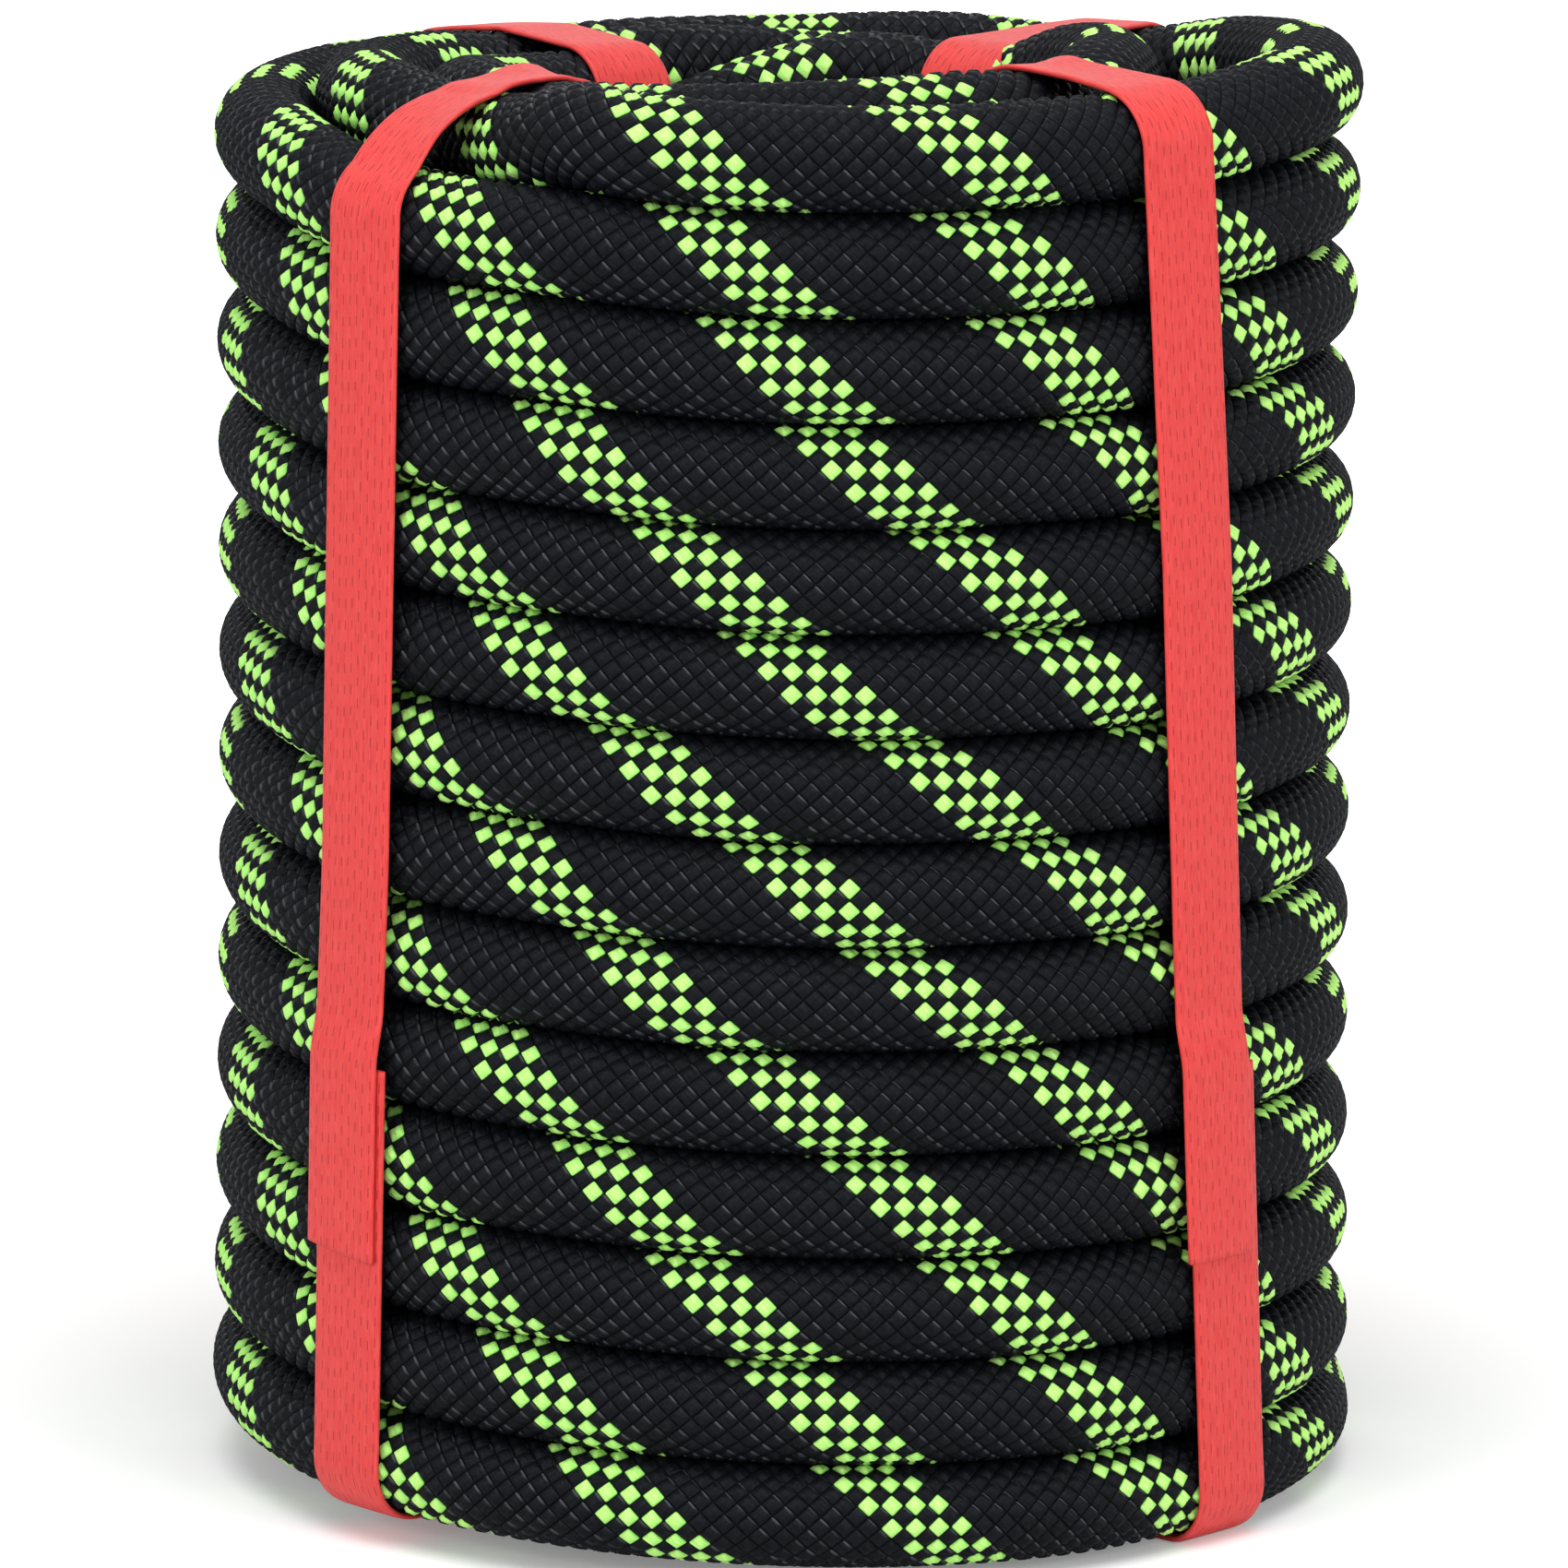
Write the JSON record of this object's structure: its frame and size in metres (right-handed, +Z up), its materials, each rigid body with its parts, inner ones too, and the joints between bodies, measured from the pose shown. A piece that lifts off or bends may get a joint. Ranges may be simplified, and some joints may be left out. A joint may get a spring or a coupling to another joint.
{
  "type": "dynamic climbing rope",
  "caption": "Dynamic climbing rope wound into an upright hollow coil of round turns, bound by flat straps that pass through its middle.",
  "frame": {"origin": "on the surface that the straps' undersides stand on, under the axis of the coil", "axes": "+Z up along the coil's axis, the front of the coil faces -Y, +X to the right"},
  "size_m": [0.113, 0.1127, 0.146],
  "materials": {
    "rope_sheath": "braided nylon, black with groups of neon green yarns",
    "rope_core": "twisted white nylon strands",
    "strap": "flat coral red strapping with a fine lengthwise grain"
  },
  "bodies": {
    "root": {"rope_outer_layer": "rope_sheath", "rope_middle_layer": "rope_sheath", "rope_inner_layer": "rope_sheath", "outer_end_sheath": "rope_sheath", "outer_end_core": "rope_core", "inner_end_sheath": "rope_sheath", "inner_end_core": "rope_core", "strap_front_left": "strap", "strap_front_right": "strap", "strap_back_left": "strap", "strap_back_right": "strap"}
  },
  "joints": []
}
